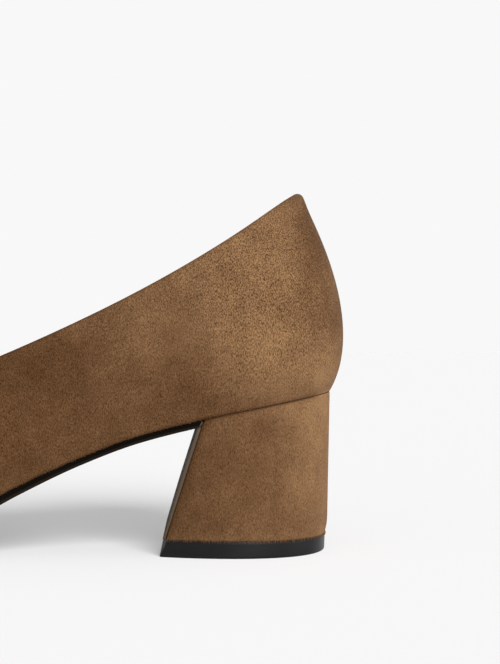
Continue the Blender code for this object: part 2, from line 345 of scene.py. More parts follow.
def innerOffset(below):  # how far the suede's inside lies behind its outside, at a depth below the rim
    fade = 1 - eased(0, upperCut["foldFade"], below - foldRadius)
    return upperCut["thickness"] + (2 * foldRadius - upperCut["thickness"]) * fade


def halfTurn(centre, radius, first, second, steps):  # arc from centre+first over second to centre-first
    turns = np.linspace(0, math.pi, steps + 1)
    return [centre + radius * (first * math.cos(turn) + second * math.sin(turn)) for turn in turns]


def shellRows(grid, out, up, low, frontOffset, backOffset, steps):
    # section of a wall between two depths behind the outside, with rounded edges at top and bottom
    front = [grid[i] - out[i] * frontOffset[i][:, None] for i in range(len(grid))]
    back = [grid[i] - out[i] * backOffset[i][:, None] for i in range(len(grid))]
    topRadius = (backOffset[-1] - frontOffset[-1])[:, None] / 2
    lowRadius = (backOffset[0] - frontOffset[0])[:, None] / 2
    over = halfTurn((front[-1] + back[-1]) / 2, topRadius, out[-1], up, steps)
    under = halfTurn((front[0] + back[0]) / 2, lowRadius, -out[0], -low, steps)
    return front, over[1:-1], back[::-1], under[1:-1]


frontRows, overRows, backRows, underRows = shellRows(
    wall, wallOut, topDirection, lowDirection, np.zeros_like(wanted), innerOffset(belowRim),
    upperCut["foldSteps"],
)
backRows = backRows[:: upperCut["innerEvery"]]
suedeRows = np.array(frontRows + overRows + backRows + underRows)
upperSuede = wrappedShell("upperSuede", suedeRows)
print("upper:", len(upperSuede.data.polygons), "faces")

# Nap and painted light: where the suede is brushed lighter or darker, and where light and shade are painted
# into its colour; tooth: how coarse its grain shows there.
# Each patch: place along and up, reach to the back and to the toe, reach down and up,
# side (-1 outer, 1 inner, 0 both), amount.
napAndShadePatches = [
    (22, 76, (30, 44), (26, 40), 0, 0.33),
    (2, 49, (8, 22), (16, 13), 0, 0.33),
    (5, 71, (8, 14), (2.5, 30), 0, -0.15),
    (9, 101, (8, 6), (14, 10), 0, -0.14),
    (20, 100, (8, 16), (12, 14), 0, 0.06),
    (98, 56, (20, 40), (9, 9), 0, -0.13),
    (62, 72, (10, 12), (8, 10), -1, 0.06),
    (50, 51, (9, 12), (5, 6), -1, -0.08),
    (80, 53, (5, 6), (7, 7), -1, -0.08),
    (72, 53, (5, 5), (9, 9), -1, 0.06),
    (30, 62, (12, 12), (7, 7), -1, 0.08),
    (10, 49.8, (6, 7), (2.5, 2.5), -1, -0.14),
    (94, 32, (6, 8), (6, 6), -1, -0.12),
    (96, 42, (6, 5), (6, 8), -1, -0.06),
    (17, 85, (5, 5), (5, 5), 0, 0.07),
    (92, 56, (18, 20), (12, 10), -1, -0.05),
    (58, 82, (10, 8), (5, 5), -1, -0.07),
]
# On the heel's cover: its nap, with painted light towards the back and along the lower edge
heelNapAndShadePatches = [
    (8, 34, (20, 22), (30, 30), 0, 0.29),
    (34, 20, (8, 10), (30, 24), 0, 0.06),
    (2, 22, (10, 9), (50, 30), 0, 0.12),
    (34, 14, (8, 8), (6, 8), -1, -0.05),
    (28, 5, (60, 60), (3, 3), 0, 0.12),
    (10, 46, (14, 24), (5, 5), 0, 0.17),
    (9, 26, (7, 6), (16, 14), 0, 0.05),
    (41, 30, (4, 6), (10, 10), -1, -0.05),
]
toothPatches = [
    (24, 83, (28, 24), (27, 32), 0, 0.43),
    (50, 68, (12, 12), (12, 12), -1, -0.2),
    (18, 48, (16, 18), (10, 9), 0, -0.2),
]
sideBlend = 3.0  # how far a patch for one side takes to fade out past the middle


def patched(points, patches, base=0.0):
    along, out, up = np.moveaxis(np.asarray(points), -1, 0)
    level = np.full_like(along, base)
    for placeAlong, placeUp, (toBack, toToe), (down, above), side, amount in patches:
        reachAlong = np.where(along < placeAlong, toBack, toToe)
        reachUp = np.where(up < placeUp, down, above)
        spot = np.exp(-(((along - placeAlong) / reachAlong) ** 2) - ((up - placeUp) / reachUp) ** 2)
        onSide = 1.0 if side == 0 else 0.5 + 0.5 * np.tanh(side * out / sideBlend)
        level = level + amount * spot * onSide
    return level


suedeNapAndShade = patched(suedeRows, napAndShadePatches)
foldRows = slice(len(frontRows) - 1, len(frontRows) + len(overRows))
# painted shade on the fold at the topline
suedeNapAndShade[foldRows] += upperCut["rimPaintedShade"]
# painted light on the wall just below the topline
suedeNapAndShade[: len(frontRows)] += upperCut["rimPaintedLight"] * np.exp(-((belowRim / upperCut["rimPaintedLightReach"]) ** 2))
# painted shade just above the hem and under it, turned to painted light at the back of the heel seam
hemPaintedShade = upperCut["hemPaintedShade"] * np.interp(fromBack, upperCut["hemPaintedShadeFrom"], upperCut["hemPaintedShadeShare"])
aboveHem = wanted - hemStart + hemRadius - upperCut["hemDrop"]
suedeNapAndShade[: len(frontRows)] += hemPaintedShade * np.exp(-((aboveHem / upperCut["hemPaintedShadeReach"]) ** 2))
suedeNapAndShade[-len(underRows):] += hemPaintedShade
setAttribute(upperSuede, "napAndShade", suedeNapAndShade)
setAttribute(upperSuede, "tooth", patched(suedeRows, toothPatches, upperCut["tooth"]))

# Lining: smooth leather inside the suede, from just under the fold down past the sock
liningCut = {"clear": 0.05, "thickness": 0.9, "rowStep": 2, "steps": 6}
liningRows = list(range(1, upperCut["rows"] - 1, liningCut["rowStep"]))
liningFront = innerOffset(belowRim) + liningCut["clear"]
frontLining, overLining, backLining, underLining = shellRows(
    wall[liningRows],
    wallOut[liningRows],
    topDirection,
    lowDirection,
    liningFront[liningRows],
    liningFront[liningRows] + liningCut["thickness"],
    liningCut["steps"],
)
lining = wrappedShell("lining", np.array(frontLining + overLining + backLining + underLining))
print("lining:", len(lining.data.polygons), "faces")

# Sock: the covered board that the foot stands on, filling the lining from side to side
sockCut = {
    "top": 3.2,
    "bottom": 0.7,
    "clear": 0.05,
    "rungs": 150,
    "across": 26,
    "edge": ((0.0, 0.5), (0.12, 0.18), (0.35, 0.0), (1.0, 0.0)),
    "edgeFit": 0.6,  # depth under the top where the edge meets the lining
    "dish": 0.5,
    "tip": 1.2,
    "sharpAngle": 40,
}
liningInside = np.array(backLining[::-1])
insideLift = liningInside[..., 2] - lastBottom(liningInside[..., 0])


def insidePlan(girth, lift):  # plan points of the lining's inside at a height over the last's bottom
    column = np.interp(np.mod(girth, fullGirth), np.append(girths, fullGirth), np.arange(len(girths) + 1))
    first = np.floor(column).astype(int)
    share = (column - first)[:, None]

    def cut(j):
        j = j % len(girths)
        return np.array(
            [[np.interp(lift, insideLift[:, k], liningInside[:, k, axis]) for axis in (0, 1)] for k in j]
        )

    return cut(first) * (1 - share) + cut(first + 1) * share


def ladderRings(outerEdges, innerEdges, across):
    # rings through matching edges of a flat piece: down the outer side, across, up the inner side, back
    shares = np.linspace(0, 1, across + 1)[1:-1, None]
    rings = []
    for outer, inner in zip(outerEdges, innerEdges):
        under = outer[-1] + (inner[-1] - outer[-1]) * shares
        over = inner[0] + (outer[0] - inner[0]) * shares
        rings.append(np.vstack([outer, under, inner[::-1], over]))
    return np.array(rings)


sockGirths = np.linspace(sockCut["tip"], toeGirth - sockCut["tip"], sockCut["rungs"])
sockDepth = sockCut["top"] - sockCut["bottom"]
sockEdges = []
for side in (1, -1):
    plan = insidePlan(side * sockGirths, sockCut["top"] - sockCut["edgeFit"])
    _, outward = edgePlan("feather", side * sockGirths)
    edges = []
    for depth, inset in sockCut["edge"]:
        spot = plan - outward * (inset + sockCut["clear"])
        up = lastBottom(spot[:, 0]) + sockCut["top"] - depth * sockDepth
        edges.append(np.column_stack([spot, up]))
    sockEdges.append(np.stack(edges, 1))
sockRings = ladderRings(*sockEdges, sockCut["across"])
steps = len(sockCut["edge"])
overStart = 2 * steps + sockCut["across"] - 1
acrossShare = np.linspace(0, 1, sockCut["across"] + 1)[1:-1]
sockRings[:, overStart:, 2] -= sockCut["dish"] * np.sin(math.pi * acrossShare) ** 2
outerUp, innerUp = (lastBottom(sockRings[:, [edge], 0]) for edge in (0, overStart - 1))
straight = outerUp + (innerUp - outerUp) * (1 - acrossShare)
sockRings[:, overStart:, 2] += lastBottom(sockRings[:, overStart:, 0]) - straight  # lies along the last
sock = ringedSolid("sock", sockRings, sockCut["sharpAngle"])
print("sock:", len(sock.data.polygons), "faces")

# Heel: a covered block whose breast leans forward from the seat to the floor
heelCut = {
    "breastTop": 44.0,
    "breastFloor": 57.4,
    "floorBack": 4.7,
    "floorFrontHalfWidth": 23.5,
    "floorBackPull": 33.8,
    "floorSidePull": (37.0, 31.4),
    "sidePoints": 110,
    "breastPoints": 84,
    "cornerSoftening": 3,
    "levels": 46,
    "topEdge": ((0.0, 0.8), (0.12, 0.42), (0.35, 0.16), (0.75, 0.03)),
    "lowEdge": ((4.0, 0.02), (2.8, 0.1), (1.6, 0.24), (0.7, 0.4), (0.25, 0.48), (0.0, 0.56)),
    "topEdgeTuck": (0.1, 1.0),
    "topEdgeFrom": (7, 11),
    # painted light on the top edge at the back, painted shade further forward
    "topEdgePaintedShade": (0.16, -0.16),
    "bodyTop": 1.2,
    "bodyFoot": 4.8,
    "lowEdgeTuck": (1.4, 0.4),
    "coverGap": 0.05,
    # painted shade beside the breast corners
    "breastPaintedShade": -0.14,
    "breastPaintedShadeReach": 2.0,
    "tooth": 0.5,
    "sharpAngle": 60,
}
liftCut = {
    "frontHeight": 5.5,
    "backHeight": 5.0,
    "inset": 0.8,
    "ahead": 0.6,
    "aheadFrom": 34.0,
    "aheadShort": 2.0,  # the whole of it is reached this far behind the breast
    "uprightFront": 0.5,
    # painted highlight on the toplift's front end: its reach back at the top, and the softness of its edge
    "highlitFront": 1.1,
    "highlightBlend": 0.3,
    "levels": 6,
    "bodyEdge": 0.5,
    "sharpAngle": 60,
    "topEdge": ((0.0, 0.2), (0.05, 0.06), (0.16, 0.0)),
    "lowEdge": ((0.22, 0.0), (0.06, 0.07), (0.0, 0.22)),
}
breastLean = (heelCut["breastFloor"] - heelCut["breastTop"]) / lastBottom(heelCut["breastTop"])
seatGirth = girthAt(heelCut["breastTop"])


def heelFloorEdge(share):
    controls = (
        (heelCut["floorBack"], 0.0),
        (heelCut["floorBack"], heelCut["floorBackPull"]),
        heelCut["floorSidePull"],
        (heelCut["breastFloor"], heelCut["floorFrontHalfWidth"]),
    )
    return bezier(share[:, None], *map(np.array, controls))


def heelColumns(inset=0.0):
    # the seat and the floor end of each straight line down the heel: from the back along the outer
    # side, across the breast and back along the inner side
    share = np.linspace(0, 1, heelCut["sidePoints"])
    floorEdge = heelFloorEdge(share)
    shrink = 1 - inset / heelCut["floorFrontHalfWidth"]
    sides = []
    for side in (-1, 1):
        seat = featherPlan(-side * share * seatGirth)
        seat = np.column_stack([seat, lastBottom(seat[:, 0])])
        foot = np.column_stack(
            [floorEdge[:, 0] + inset * (1 - share), side * floorEdge[:, 1] * shrink, 0 * share]
        )
        sides.append((seat, foot))
    across = np.linspace(0, 1, heelCut["breastPoints"])[1:-1, None]
    columns = []
    for end in (0, 1):
        outer, inner = sides[0][end], sides[1][end]
        breast = outer[-1] + (inner[-1] - outer[-1]) * across
        columns.append(np.vstack([outer, breast, inner[:0:-1]]))
    return columns


def softened(ring):  # takes the sharpness off the two breast corners
    for _ in range(heelCut["cornerSoftening"]):
        ring = (np.roll(ring, 1, axis=0) + 2 * ring + np.roll(ring, -1, axis=0)) / 4
    return ring


def insetRing(ring, inset):
    run = np.roll(ring, -1, axis=0) - np.roll(ring, 1, axis=0)
    outward = np.column_stack([run[:, 1], -run[:, 0], 0 * run[:, 0]])
    outward /= np.linalg.norm(outward, axis=1, keepdims=True)
    centre = ring.mean(0)
    outward *= np.sign((outward * (ring - centre)).sum())
    return ring - outward * np.reshape(inset, (-1, 1))


def liftTop(along):
    share = (along - heelCut["floorBack"]) / (heelCut["breastFloor"] - heelCut["floorBack"])
    return liftCut["backHeight"] + (liftCut["frontHeight"] - liftCut["backHeight"]) * share


def stackedRings(seat, foot, heights, insets):  # the lines down the heel, cut at these heights
    rings = []
    for up, inset in zip(heights, insets):
        ring = foot + (seat - foot) * (up / seat[:, 2])[:, None]
        rings.append(insetRing(softened(ring), inset))
    return np.array(rings)


seat, foot = heelColumns()
heelFoot = liftTop(foot[:, 0]) + heelCut["coverGap"]
heelHeights, heelInsets = [], []
topEdgeTuck = np.interp(seat[:, 0], heelCut["topEdgeFrom"], heelCut["topEdgeTuck"])
for depth, inset in heelCut["topEdge"]:
    heelHeights.append(seat[:, 2] - depth)
    heelInsets.append(inset * topEdgeTuck)
for share in np.linspace(0, 1, heelCut["levels"] + 2)[1:-1]:
    bodyTop, bodyFoot = seat[:, 2] - heelCut["bodyTop"], heelFoot + heelCut["bodyFoot"]
    heelHeights.append(bodyTop + (bodyFoot - bodyTop) * share)
    heelInsets.append(0.0)
lowEdgeTuck = np.interp(foot[:, 0], (heelCut["floorBack"], heelCut["breastFloor"]), heelCut["lowEdgeTuck"])
for rise, inset in heelCut["lowEdge"]:
    heelHeights.append(heelFoot + rise)
    heelInsets.append(inset * lowEdgeTuck)
heelRings = stackedRings(seat, foot, heelHeights, heelInsets)
heelBlock = ringedSolid("heelBlock", heelRings, heelCut["sharpAngle"])
heelNapAndShade = patched(heelRings, heelNapAndShadePatches)
belowSeat = seat[:, 2] - heelRings[..., 2]
# painted light along the heel's top edge at the back, painted shade further forward
topEdgePaintedShade = np.interp(seat[:, 0], heelCut["topEdgeFrom"], heelCut["topEdgePaintedShade"])
heelNapAndShade += topEdgePaintedShade * np.exp(-((belowSeat / upperCut["hemPaintedShadeReach"]) ** 2))
# painted shade on the cover beside the breast corners
fromBreast = heelCut["breastFloor"] - breastLean * heelRings[..., 2] - heelRings[..., 0]
heelNapAndShade += heelCut["breastPaintedShade"] * np.exp(-((fromBreast / heelCut["breastPaintedShadeReach"]) ** 2))
setAttribute(heelBlock, "napAndShade", heelNapAndShade)
setAttribute(heelBlock, "tooth", patched(heelRings, [], heelCut["tooth"]))
print("heel:", len(heelBlock.data.polygons), "faces")

# Toplift: the rubber piece that wears, a little smaller than the block
liftSeat, liftFoot = heelColumns(liftCut["inset"])
liftHeight = liftTop(liftFoot[:, 0])
liftHeights = [liftHeight - depth for depth, _ in liftCut["topEdge"]]
liftInsets = [inset for _, inset in liftCut["topEdge"]]
for share in np.linspace(0, 1, liftCut["levels"] + 2)[1:-1]:
    liftHeights.append(liftHeight - liftCut["bodyEdge"] + (2 * liftCut["bodyEdge"] - liftHeight) * share)
    liftInsets.append(0.0)
liftHeights += [0 * liftHeight + rise for rise, _ in liftCut["lowEdge"]]
liftInsets += [inset for _, inset in liftCut["lowEdge"]]
liftRings = stackedRings(liftSeat, liftFoot, liftHeights, liftInsets)
liftLevel = np.array(liftHeights) / liftHeight
liftRings[..., 0] += (liftCut["ahead"] - liftCut["uprightFront"] * (1 - liftLevel)) * eased(
    liftCut["aheadFrom"], heelCut["breastFloor"] - liftCut["aheadShort"], liftRings[..., 0]
)
toplift = ringedSolid("topliftRubber", liftRings, liftCut["sharpAngle"])
# painted highlight along the toplift's front end, reaching further back towards its top
behindFront = liftRings[..., 0].max(1, keepdims=True) - liftRings[..., 0]
pastHighlight = behindFront - liftCut["highlitFront"] * liftLevel
setAttribute(toplift, "bareEdge", 1 - eased(-liftCut["highlightBlend"], liftCut["highlightBlend"], pastHighlight))
print("toplift:", len(toplift.data.polygons), "faces")

# Outsole: thin sheet from the toe to the breast, turned down over the breast as a flap
soleCut = {
    "thickness": 2.0,
    "flapThickness": (1.1, 0.75),
    "flapBow": 0.2,
    "gap": 0.06,
    "rungs": 190,
    "cornerRungs": 14,
    "flapRungs": 80,
    "fillet": 1.2,
    "filletRoom": 1.2,
    "across": 30,
    "sharpAngle": 50,
    "tip": 1.0,
    "edge": (
        (0.0, 0.25), (0.06, 0.06), (0.14, 0.0), (0.48, 0.0),
        (0.58, 0.1), (0.8, 0.36), (0.94, 0.62), (1.0, 0.95),
    ),
    # lighter on the edge's lower bevel: a painted reflection of the floor
    "edgeWear": (0.0, 0.0, 0.0, 0.0, 0.06, 0.15, 0.18, 0.18),
    "flapEdge": 0.55,
    "flapInset": 0.3,
    "flapStep": 0.3,
    # painted highlight at the sole's end by the breast corner
    "cornerPaintedHighlight": 0.8,
    # the underside's own lighter tone, which also paints a reflection along the edge's foot
    "underWear": 0.2,
}


def breastLine(up, ahead):  # place along the shoe of the breast at a height, moved ahead square to it
    return heelCut["breastFloor"] - up * breastLean + ahead * np.hypot(1, breastLean)


def bottomSlope(along):
    step = last["slopeStep"]
    return (lastBottom(along + step) - lastBottom(along - step)) / (2 * step)


cornerUp = lastBottom(heelCut["breastTop"])
flapBack = soleCut["gap"]
cornerAlong = breastLine(cornerUp, flapBack)


def soleProfile(along):  # top and underside of the sole at a place along it
    up, slope = lastBottom(along), bottomSlope(along)
    drop = soleCut["thickness"] / np.hypot(1, slope)
    return np.array([along, up + hemRaise(along)]), np.array([along + slope * drop, up - drop])


def flapFront(share):  # distance from the breast to the flap's face, from the sole down to the foot
    return flapBack + np.interp(share, (0, 1), soleCut["flapThickness"])


_, underCorner = soleProfile(cornerAlong)
underCorner = np.array([breastLine(underCorner[1], flapFront(0)), underCorner[1]])
flapFootUp = liftTop(heelCut["breastFloor"]) + heelCut["coverGap"]


def flapProfile(share):
    backUp = cornerUp + (flapFootUp - cornerUp) * share
    frontUp = underCorner[1] + (flapFootUp - underCorner[1]) * share
    ahead = flapFront(share) + soleCut["flapBow"] * math.sin(math.pi * share)
    return (
        np.array([breastLine(backUp, flapBack), backUp]),
        np.array([breastLine(frontUp, ahead), frontUp]),
    )


def soleEdges(side, girth, top, under):
    edges = []
    for depth, inset in soleCut["edge"]:
        plan = featherPoint(side * girth, inset)
        shift = plan[0] - featherPoint(side * girth)[0]
        spot = top + (under - top) * depth
        edges.append((spot[0] + shift, plan[1], spot[1]))
    return edges


filletStart = girthAt(cornerAlong + soleCut["fillet"] * soleCut["filletRoom"])
soleOuter, soleInner = [], []
for girth in np.linspace(toeGirth - soleCut["tip"], filletStart, soleCut["rungs"]):
    top, under = soleProfile(featherPoint(girth)[0])
    soleOuter.append(soleEdges(1, girth, top, under))
    soleInner.append(soleEdges(-1, girth, top, under))

topStart, underStart = top, under
flapLength = np.linalg.norm(flapProfile(1)[1] - underCorner)
topEnd, underEnd = flapProfile(soleCut["fillet"] / flapLength)
cornerTop = np.array([cornerAlong, cornerUp])
heelCornerSeat = featherPlan(np.array([seatGirth, -seatGirth]))
flapFoot = np.array([-1, 1]) * heelCut["floorFrontHalfWidth"]


def flapOut(share):  # half widths of the flap, following the heel's breast corners
    level = 1 - (1 - flapFootUp / cornerUp) * share
    return flapFoot + (heelCornerSeat[:, 1] - flapFoot) * level


def flapShare(up):  # 0 beside the sole's own edge, 1 down the flap
    return eased(0, soleCut["flapStep"], underCorner[1] - up)


def flapEdges(side, out, top, under):
    edges = []
    for depth, inset in soleCut["edge"]:
        spot = top + (under - top) * depth
        inset = inset * soleCut["flapEdge"] + soleCut["flapInset"] * flapShare(spot[1])
        edges.append((spot[0], out + side * inset, spot[1]))
    return edges


uprightEnd = max(i for i, (_, inset) in enumerate(soleCut["edge"]) if inset == 0)
startOut = np.array([side[-1][uprightEnd][1] for side in (soleOuter, soleInner)])
endOut = flapOut(soleCut["fillet"] / flapLength)
for share in np.linspace(0, 1, soleCut["cornerRungs"] + 2)[1:-1]:
    bend = (1 - share) ** 2 * underStart + 2 * share * (1 - share) * underCorner + share**2 * underEnd
    over = (1 - share) ** 2 * topStart + 2 * share * (1 - share) * cornerTop + share**2 * topEnd
    out = startOut + (endOut - startOut) * share
    soleOuter.append(flapEdges(1, out[0], over, bend))
    soleInner.append(flapEdges(-1, out[1], over, bend))
for share in np.linspace(soleCut["fillet"] / flapLength, 1, soleCut["flapRungs"]):
    top, under = flapProfile(share)
    out = flapOut(share)
    soleOuter.append(flapEdges(1, out[0], top, under))
    soleInner.append(flapEdges(-1, out[1], top, under))
soleRings = ladderRings(np.array(soleOuter), np.array(soleInner), soleCut["across"])
outsole = ringedSolid("outsoleSheet", soleRings, soleCut["sharpAngle"])
edgeCount = len(soleCut["edge"])
onSides = np.zeros(soleRings.shape[1])
onSides[: edgeCount - 1] = 1
onSides[edgeCount + soleCut["across"]: 2 * edgeCount + soleCut["across"] - 1] = 1
# a lighter tone: grey-brown on the flap's sides, painted reflections and a painted highlight on the sole's
# edge
bareEdge = flapShare(soleRings[..., 2]) * onSides
# the underside's lighter tone, with a painted reflection along the edge's foot
bareEdge[:, edgeCount: edgeCount + soleCut["across"]] = soleCut["underWear"]
innerEdge = edgeCount + soleCut["across"] - 1
# painted reflection of the floor on the edge's lower bevel, along the sole
bareEdge[: soleCut["rungs"], :edgeCount] = soleCut["edgeWear"]
bareEdge[: soleCut["rungs"], innerEdge: innerEdge + edgeCount] = soleCut["edgeWear"][::-1]
# painted highlight at the sole's end by the breast corner
cornerEnd = slice(soleCut["rungs"] + soleCut["cornerRungs"] // 2, soleCut["rungs"] + soleCut["cornerRungs"])
bareEdge[cornerEnd, : edgeCount // 2] = soleCut["cornerPaintedHighlight"]
setAttribute(outsole, "bareEdge", bareEdge)
print("outsole:", len(outsole.data.polygons), "faces")


# Materials
def newMaterial(name):
    material = bpy.data.materials.new(name)
    material.use_nodes = True
    tree = material.node_tree
    return material, tree, tree.nodes["Principled BSDF"]


def setSockets(node, values):
    for key, value in values.items():
        node.inputs[key].default_value = value


def addNode(tree, kind, inputs=None, **settings):
    node = tree.nodes.new(kind)
    for key, value in settings.items():
        setattr(node, key, value)
    setSockets(node, inputs or {})
    return node


def objectNoise(tree, coords, scale, detail, stretch=(1, 1, 1), roughness=0.55):
    turned = addNode(tree, "ShaderNodeMapping", {"Scale": stretch})
    tree.links.new(coords.outputs["Object"], turned.inputs["Vector"])
    sizes = {"Scale": scale, "Detail": detail, "Roughness": roughness}
    made = addNode(tree, "ShaderNodeTexNoise", sizes)
    tree.links.new(turned.outputs["Vector"], made.inputs["Vector"])
    return made.outputs["Fac"]


def mathNode(tree, operation, *values):  # each value is a number to set or a socket to join
    node = addNode(tree, "ShaderNodeMath", operation=operation)
    for socket, value in zip(node.inputs, values):
        if isinstance(value, bpy.types.NodeSocket):
            tree.links.new(value, socket)
        else:
            socket.default_value = value
    return node.outputs[0]


def weighted(tree, parts, base):  # base plus each value's distance from a half, times its weight
    total = base - sum(weight for _, weight in parts) / 2
    for value, weight in parts:
        total = mathNode(tree, "MULTIPLY_ADD", value, weight, total)
    return total


def addBump(tree, shader, height, strength, depth):
    bump = addNode(tree, "ShaderNodeBump", {"Strength": strength, "Distance": depth})
    tree.links.new(height, bump.inputs["Height"])
    tree.links.new(bump.outputs["Normal"], shader.inputs["Normal"])


def colourRamp(tree, value, stops):
    ramp = addNode(tree, "ShaderNodeValToRGB")
    elements = ramp.color_ramp.elements
    while len(elements) < len(stops):
        elements.new(0.5)
    for element, (place, colour) in zip(elements, stops):
        element.position, element.color = place, colour
    tree.links.new(value, ramp.inputs["Fac"])
    return ramp.outputs["Color"]


suedeLook = {
    "colours": shades((57, 33, 11), (73, 48, 25), (90, 63, 40), (112, 83, 56), (138, 105, 72)),
    "base": 0.41,
    "blotch": (60, 2, 0.42),
    "cloud": (210, 1, 0.2),
    "grain": (4400, 0, 1.6),
    "grainStretch": (1, 1, 0.38),
    "fleck": (1000, 0, 0.1),
    "fleckStretch": (1, 1, 0.5),
    "pits": -0.55,
    "bumpStrength": 0.4,
    "bumpDepth": 0.0003,
    "roughness": 0.9,
    "roughnessSwing": 0.2,
    "gloss": {
        "Specular IOR Level": 0.1,
        "Sheen Weight": 0.12,
        "Sheen Roughness": 0.5,
        "Sheen Tint": tone(190, 150, 115),
    },
}
heelSuedeLook = {**suedeLook, "streak": (420, 2, (1, 1, 0.1), 0.1)}


def suedeMaterial(name, look):
    material, tree, shader = newMaterial(name)
    coords = addNode(tree, "ShaderNodeTexCoord")
    blotch = objectNoise(tree, coords, *look["blotch"][:2])
    cloud = objectNoise(tree, coords, *look["cloud"][:2])
    grain = objectNoise(tree, coords, *look["grain"][:2], stretch=look["grainStretch"])
    fleck = objectNoise(tree, coords, *look["fleck"][:2], stretch=look["fleckStretch"])
    coarse = [(blotch, look["blotch"][2]), (cloud, look["cloud"][2])]
    if "streak" in look:
        *streak, share = look["streak"]
        coarse.append((objectNoise(tree, coords, *streak), share))
    shade = weighted(tree, coarse, look["base"])
    height = weighted(tree, [(grain, look["grain"][2]), (fleck, look["fleck"][2])], 0.0)
    pitted = mathNode(tree, "MULTIPLY_ADD", height, look["pits"], 1.0)
    pile = mathNode(tree, "MULTIPLY", height, pitted)  # low spots deeper, high spots flatter
    napAndShade = addNode(tree, "ShaderNodeAttribute", attribute_name="napAndShade")
    tooth = addNode(tree, "ShaderNodeAttribute", attribute_name="tooth")
    # the suede's tone with its nap and the painted light and shade added
    brushedAndShaded = mathNode(tree, "ADD", shade, napAndShade.outputs["Fac"])
    toothed = mathNode(tree, "MULTIPLY_ADD", pile, tooth.outputs["Fac"], brushedAndShaded)
    tree.links.new(colourRamp(tree, toothed, look["colours"]), shader.inputs["Base Color"])
    addBump(tree, shader, pile, look["bumpStrength"], look["bumpDepth"])
    rough = weighted(tree, [(grain, look["roughnessSwing"])], look["roughness"])
    tree.links.new(rough, shader.inputs["Roughness"])
    setSockets(shader, look["gloss"])
    return material


upperMaterial = suedeMaterial("brushedSuede", suedeLook)
heelMaterial = suedeMaterial("heelSuede", heelSuedeLook)

smoothBase = {  # what the smooth leathers and the rubber have in common
    "cloudScale": 90,
    "detail": 3,
    "cloudShare": 0.5,
    "grainShare": 0.4,
    "base": 0.5,
    "bumpStrength": 0.3,
    "bumpDepth": 0.0001,
    "cloudRoughness": 0.12,
    "grainRoughness": 0.1,
    "specular": 0.4,
}
smoothLooks = {
    "tanLining": {
        "colours": shades((150, 116, 84), (178, 143, 108), (198, 164, 128)),
        "grainScale": 1400,
        "roughness": 0.5,
    },
    "tanSock": {
        "colours": shades((158, 124, 92), (184, 150, 115), (203, 170, 134)),
        "grainScale": 1200,
        "roughness": 0.45,
    },
    "blackSole": {
        "colours": shades((5, 4, 3), (11, 8, 6), (18, 14, 11)),
        # lighter ramp for the flap's grey-brown sides and the painted reflections and highlight on the edge
        "bare": shades((66, 56, 48), (80, 68, 57), (94, 81, 69)),
        "grainScale": 1500,
        "roughness": 0.5,
        "specular": 0.01,
    },
    "blackRubber": {
        "colours": shades((9, 9, 10), (16, 16, 17), (25, 25, 26)),
        # lighter ramp for the painted highlight on the front end
        "bare": shades((52, 52, 54), (68, 68, 70), (84, 84, 86)),
        "lines": (500, 1, (0.15, 0.15, 3.0), 0.4),
        "grainScale": 1800,
        "roughness": 0.4,
        "specular": 0.15,
        "bumpDepth": 0.00008,
    },
}


def smoothMaterial(name, look):
    material, tree, shader = newMaterial(name)
    coords = addNode(tree, "ShaderNodeTexCoord")
    cloud = objectNoise(tree, coords, look["cloudScale"], look["detail"])
    grain = objectNoise(tree, coords, look["grainScale"], look["detail"])
    parts = [(cloud, look["cloudShare"]), (grain, look["grainShare"])]
    if "lines" in look:
        *lines, share = look["lines"]
        parts.append((objectNoise(tree, coords, *lines), share))
    shade = weighted(tree, parts, look["base"])
    colour = colourRamp(tree, shade, look["colours"])
    # a lighter ramp mixed in for painted highlights and reflections, and for the flap's grey-brown sides
    if "bare" in look:
        toneAndHighlightShare = addNode(tree, "ShaderNodeAttribute", attribute_name="bareEdge")
        mixed = addNode(tree, "ShaderNodeMix", data_type="RGBA")
        tree.links.new(toneAndHighlightShare.outputs["Fac"], mixed.inputs["Factor"])
        tree.links.new(colour, mixed.inputs[6])  # 6 and 7 take the two colours, and output 2 is their mix
        tree.links.new(colourRamp(tree, shade, look["bare"]), mixed.inputs[7])
        colour = mixed.outputs[2]
    tree.links.new(colour, shader.inputs["Base Color"])
    addBump(tree, shader, shade, look["bumpStrength"], look["bumpDepth"])
    roughParts = [(cloud, look["cloudRoughness"]), (grain, look["grainRoughness"])]
    tree.links.new(weighted(tree, roughParts, look["roughness"]), shader.inputs["Roughness"])
    shader.inputs["Specular IOR Level"].default_value = look["specular"]
    return material


smooth = {name: smoothMaterial(name, {**smoothBase, **look}) for name, look in smoothLooks.items()}
print("materials:", ", ".join([upperMaterial.name, heelMaterial.name, *smooth]))

# Fringe: loose fibres along the cut edges of the suede
fringeCut = {
    "sides": 4,
    "tipRadius": 0.01,
    "sizes": (0.35, 1.1),  # times the length and the radius
    "napAndShade": (-0.15, 0.3),
    "heel": {"row": -2, "spacing": 0.13, "length": 1.05, "radius": 0.09, "tilt": 22.0, "seed": 5},
    "hem": {"row": -3, "spacing": 0.3, "length": 0.55, "radius": 0.08, "tilt": 30.0, "seed": 11},
}


